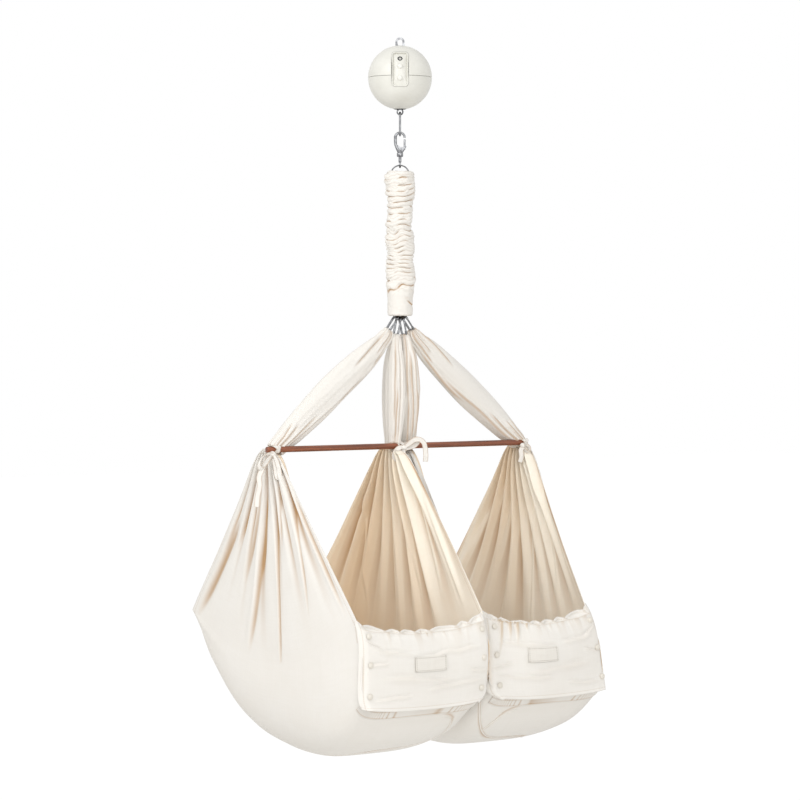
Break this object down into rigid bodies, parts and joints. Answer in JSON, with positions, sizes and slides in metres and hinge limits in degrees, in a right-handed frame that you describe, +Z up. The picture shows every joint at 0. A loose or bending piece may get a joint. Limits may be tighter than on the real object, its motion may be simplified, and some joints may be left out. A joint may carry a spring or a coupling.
{
  "type": "hanging baby cradle",
  "caption": "Hanging cradle for twins: a ball-shaped lifting motor unit carries a sleeved spring, a spreader bar and gathered cloth hammocks with front flaps.",
  "frame": {"origin": "centre of the hole in the ceiling eye, where the cradle hangs", "axes": "+Z up along the hanging line, +X along the spreader bar, -Y the front with the flaps"},
  "size_m": [0.6796, 0.6045, 1.4563],
  "materials": {
    "steel": "zinc-plated steel, satin",
    "dark_steel": "dull plated spring steel",
    "brass": "turned brass",
    "shell_plastic": "satin off-white moulding",
    "button_plastic": "smooth off-white",
    "snap_plastic": "small cream press studs",
    "black_plastic": "black moulding",
    "inner_plastic": "grey engineering plastic",
    "circuit_board": "green laminate",
    "grey_rubber": "soft grey rubber",
    "walnut": "oiled reddish brown, satin",
    "cream_cloth": "woven cream cotton",
    "ribbon_cloth": "narrow cotton tape",
    "mattress_cloth": "soft quilted cotton cover",
    "label_cloth": "woven bare label"
  },
  "bodies": {
    "motor_unit": {"ceiling_eye": "steel", "upper_shell": "shell_plastic", "lower_shell": "shell_plastic", "control_panel": "shell_plastic", "power_socket": "black_plastic", "control_board": "circuit_board", "chassis": "inner_plastic", "gear_motor": "steel", "gear_axle": "steel", "guide_bush": "brass", "outlet_grommet": "grey_rubber", "left_shell_screw": "steel", "right_shell_screw": "steel"},
    "start_button": {"start_button": "button_plastic"},
    "rhythm_button": {"rhythm_button": "button_plastic"},
    "motor_pinion": {"motor_pinion": "brass"},
    "drive_gear": {"drive_gear": "inner_plastic"},
    "lift_rack": {"lift_rack": "steel"},
    "oval_link": {"oval_link": "steel"},
    "snap_hook": {"snap_hook": "steel", "snap_hook_pin": "steel"},
    "snap_hook_gate": {"snap_hook_gate": "steel"},
    "swivel_eye": {"swivel_eye": "steel"},
    "spring_top": {"top_ring": "steel", "tension_spring": "dark_steel", "spring_sleeve": "cream_cloth"},
    "bottom_ring": {"bottom_ring": "dark_steel"},
    "spreader": {"spreader_bar": "walnut", "left_tie": "ribbon_cloth", "centre_tie": "ribbon_cloth", "right_tie": "ribbon_cloth", "left_outer_carabiner": "steel", "left_inner_carabiner": "steel", "right_inner_carabiner": "steel", "right_outer_carabiner": "steel", "left_outer_strap": "cream_cloth", "left_inner_strap": "cream_cloth", "right_inner_strap": "cream_cloth", "right_outer_strap": "cream_cloth"},
    "left_outer_gate": {"left_outer_carabiner_gate": "dark_steel"},
    "left_inner_gate": {"left_inner_carabiner_gate": "dark_steel"},
    "right_inner_gate": {"right_inner_carabiner_gate": "dark_steel"},
    "right_outer_gate": {"right_outer_carabiner_gate": "dark_steel"},
    "left_hammock": {"left_outer_wall": "cream_cloth", "left_inner_wall": "cream_cloth", "left_bowl": "cream_cloth", "left_mattress": "mattress_cloth"},
    "left_flap": {"left_front_flap": "cream_cloth", "left_outer_snaps": "snap_plastic", "left_inner_snaps": "snap_plastic", "left_label": "label_cloth"},
    "right_hammock": {"right_outer_wall": "cream_cloth", "right_inner_wall": "cream_cloth", "right_bowl": "cream_cloth", "right_mattress": "mattress_cloth"},
    "right_flap": {"right_front_flap": "cream_cloth", "right_outer_snaps": "snap_plastic", "right_inner_snaps": "snap_plastic", "right_label": "label_cloth"}
  },
  "joints": [
    {"name": "start_button_press", "type": "slide", "parent": "motor_unit", "child": "start_button", "axis": [0.5729, 0.7602, -0.3065], "range_m": [0, 0.0015], "stiffness_N_per_m": 600, "springref_m": -0.002},
    {"name": "rhythm_button_press", "type": "slide", "parent": "motor_unit", "child": "rhythm_button", "axis": [0.5996, 0.7957, 0.0855], "range_m": [0, 0.0015], "stiffness_N_per_m": 600, "springref_m": -0.002},
    {"name": "lift_slide", "type": "slide", "parent": "motor_unit", "child": "lift_rack", "axis": [0, 0, 1], "range_m": [0, 0.0065]},
    {"name": "drive_gear_spin", "type": "hinge", "parent": "motor_unit", "child": "drive_gear", "pos_m": [0.01883, -0.01419, -0.0706], "axis": [0.6018, 0.7986, 0], "range_deg": [-1, 22]},
    {"name": "motor_pinion_spin", "type": "hinge", "parent": "motor_unit", "child": "motor_pinion", "pos_m": [0.02969, -0.02237, -0.04704], "axis": [0.6018, 0.7986, 0], "range_deg": [-43, 2]},
    {"name": "link_swing", "type": "hinge", "parent": "lift_rack", "child": "oval_link", "pos_m": [0, 0, -0.1462], "axis": [0.7986, -0.6018, 0], "range_deg": [-20, 20]},
    {"name": "hook_swing", "type": "hinge", "parent": "oval_link", "child": "snap_hook", "pos_m": [0, 0, -0.1881], "axis": [0.6018, 0.7986, 0], "range_deg": [-20, 20]},
    {"name": "snap_gate_open", "type": "hinge", "parent": "snap_hook", "child": "snap_hook_gate", "pos_m": [0.00751, -0.00566, -0.2112], "axis": [0.6018, 0.7986, 0], "range_deg": [-30, 0], "stiffness_Nm_per_rad": 0.05, "springref_deg": 22.92},
    {"name": "swivel_turn", "type": "hinge", "parent": "snap_hook", "child": "swivel_eye", "pos_m": [0, 0, -0.2318], "axis": [0, 0, 1], "continuous": true},
    {"name": "ring_swing", "type": "hinge", "parent": "swivel_eye", "child": "spring_top", "pos_m": [0, 0, -0.2491], "axis": [0.7986, -0.6018, 0], "range_deg": [-20, 20]},
    {"name": "spring_stretch", "type": "slide", "parent": "spring_top", "child": "bottom_ring", "axis": [0, 0, -1], "range_m": [0, 0.15], "stiffness_N_per_m": 400, "springref_m": -0.12, "deforming": ["tension_spring", "spring_sleeve"]},
    {"name": "cradle_swing", "type": "hinge", "parent": "bottom_ring", "child": "spreader", "pos_m": [0, 0, -0.562], "axis": [1, 0, 0], "range_deg": [-20, 20]},
    {"name": "left_outer_gate_open", "type": "hinge", "parent": "spreader", "child": "left_outer_gate", "pos_m": [-0.0238, -0.0076, -0.57546], "axis": [0.788, 0, -0.6157], "range_deg": [-25, 0], "stiffness_Nm_per_rad": 0.05, "springref_deg": 22.92},
    {"name": "left_inner_gate_open", "type": "hinge", "parent": "spreader", "child": "left_inner_gate", "pos_m": [-0.00837, -0.0076, -0.58274], "axis": [0.9763, 0, -0.2164], "range_deg": [-25, 0], "stiffness_Nm_per_rad": 0.05, "springref_deg": 22.92},
    {"name": "right_inner_gate_open", "type": "hinge", "parent": "spreader", "child": "right_inner_gate", "pos_m": [0.00837, -0.0076, -0.58274], "axis": [0.9763, 0, 0.2164], "range_deg": [-25, 0], "stiffness_Nm_per_rad": 0.05, "springref_deg": 22.92},
    {"name": "right_outer_gate_open", "type": "hinge", "parent": "spreader", "child": "right_outer_gate", "pos_m": [0.0238, -0.0076, -0.57546], "axis": [0.788, 0, 0.6157], "range_deg": [-25, 0], "stiffness_Nm_per_rad": 0.05, "springref_deg": 22.92},
    {"name": "left_hammock_rock", "type": "hinge", "parent": "spreader", "child": "left_hammock", "pos_m": [-0.17, 0, -0.82], "axis": [1, 0, 0], "range_deg": [-12, 12]},
    {"name": "left_flap_open", "type": "hinge", "parent": "left_hammock", "child": "left_flap", "pos_m": [-0.16, -0.3022, -1.3077], "axis": [1, 0, 0], "range_deg": [0, 95]},
    {"name": "right_hammock_rock", "type": "hinge", "parent": "spreader", "child": "right_hammock", "pos_m": [0.17, 0, -0.82], "axis": [1, 0, 0], "range_deg": [-12, 12]},
    {"name": "right_flap_open", "type": "hinge", "parent": "right_hammock", "child": "right_flap", "pos_m": [0.16, -0.3022, -1.3077], "axis": [1, 0, 0], "range_deg": [0, 95]}
  ],
  "couplings": [
    {"joint": "drive_gear_spin", "follows": "lift_slide", "rad_per_m": 55.556},
    {"joint": "motor_pinion_spin", "follows": "lift_slide", "rad_per_m": -111.11}
  ]
}
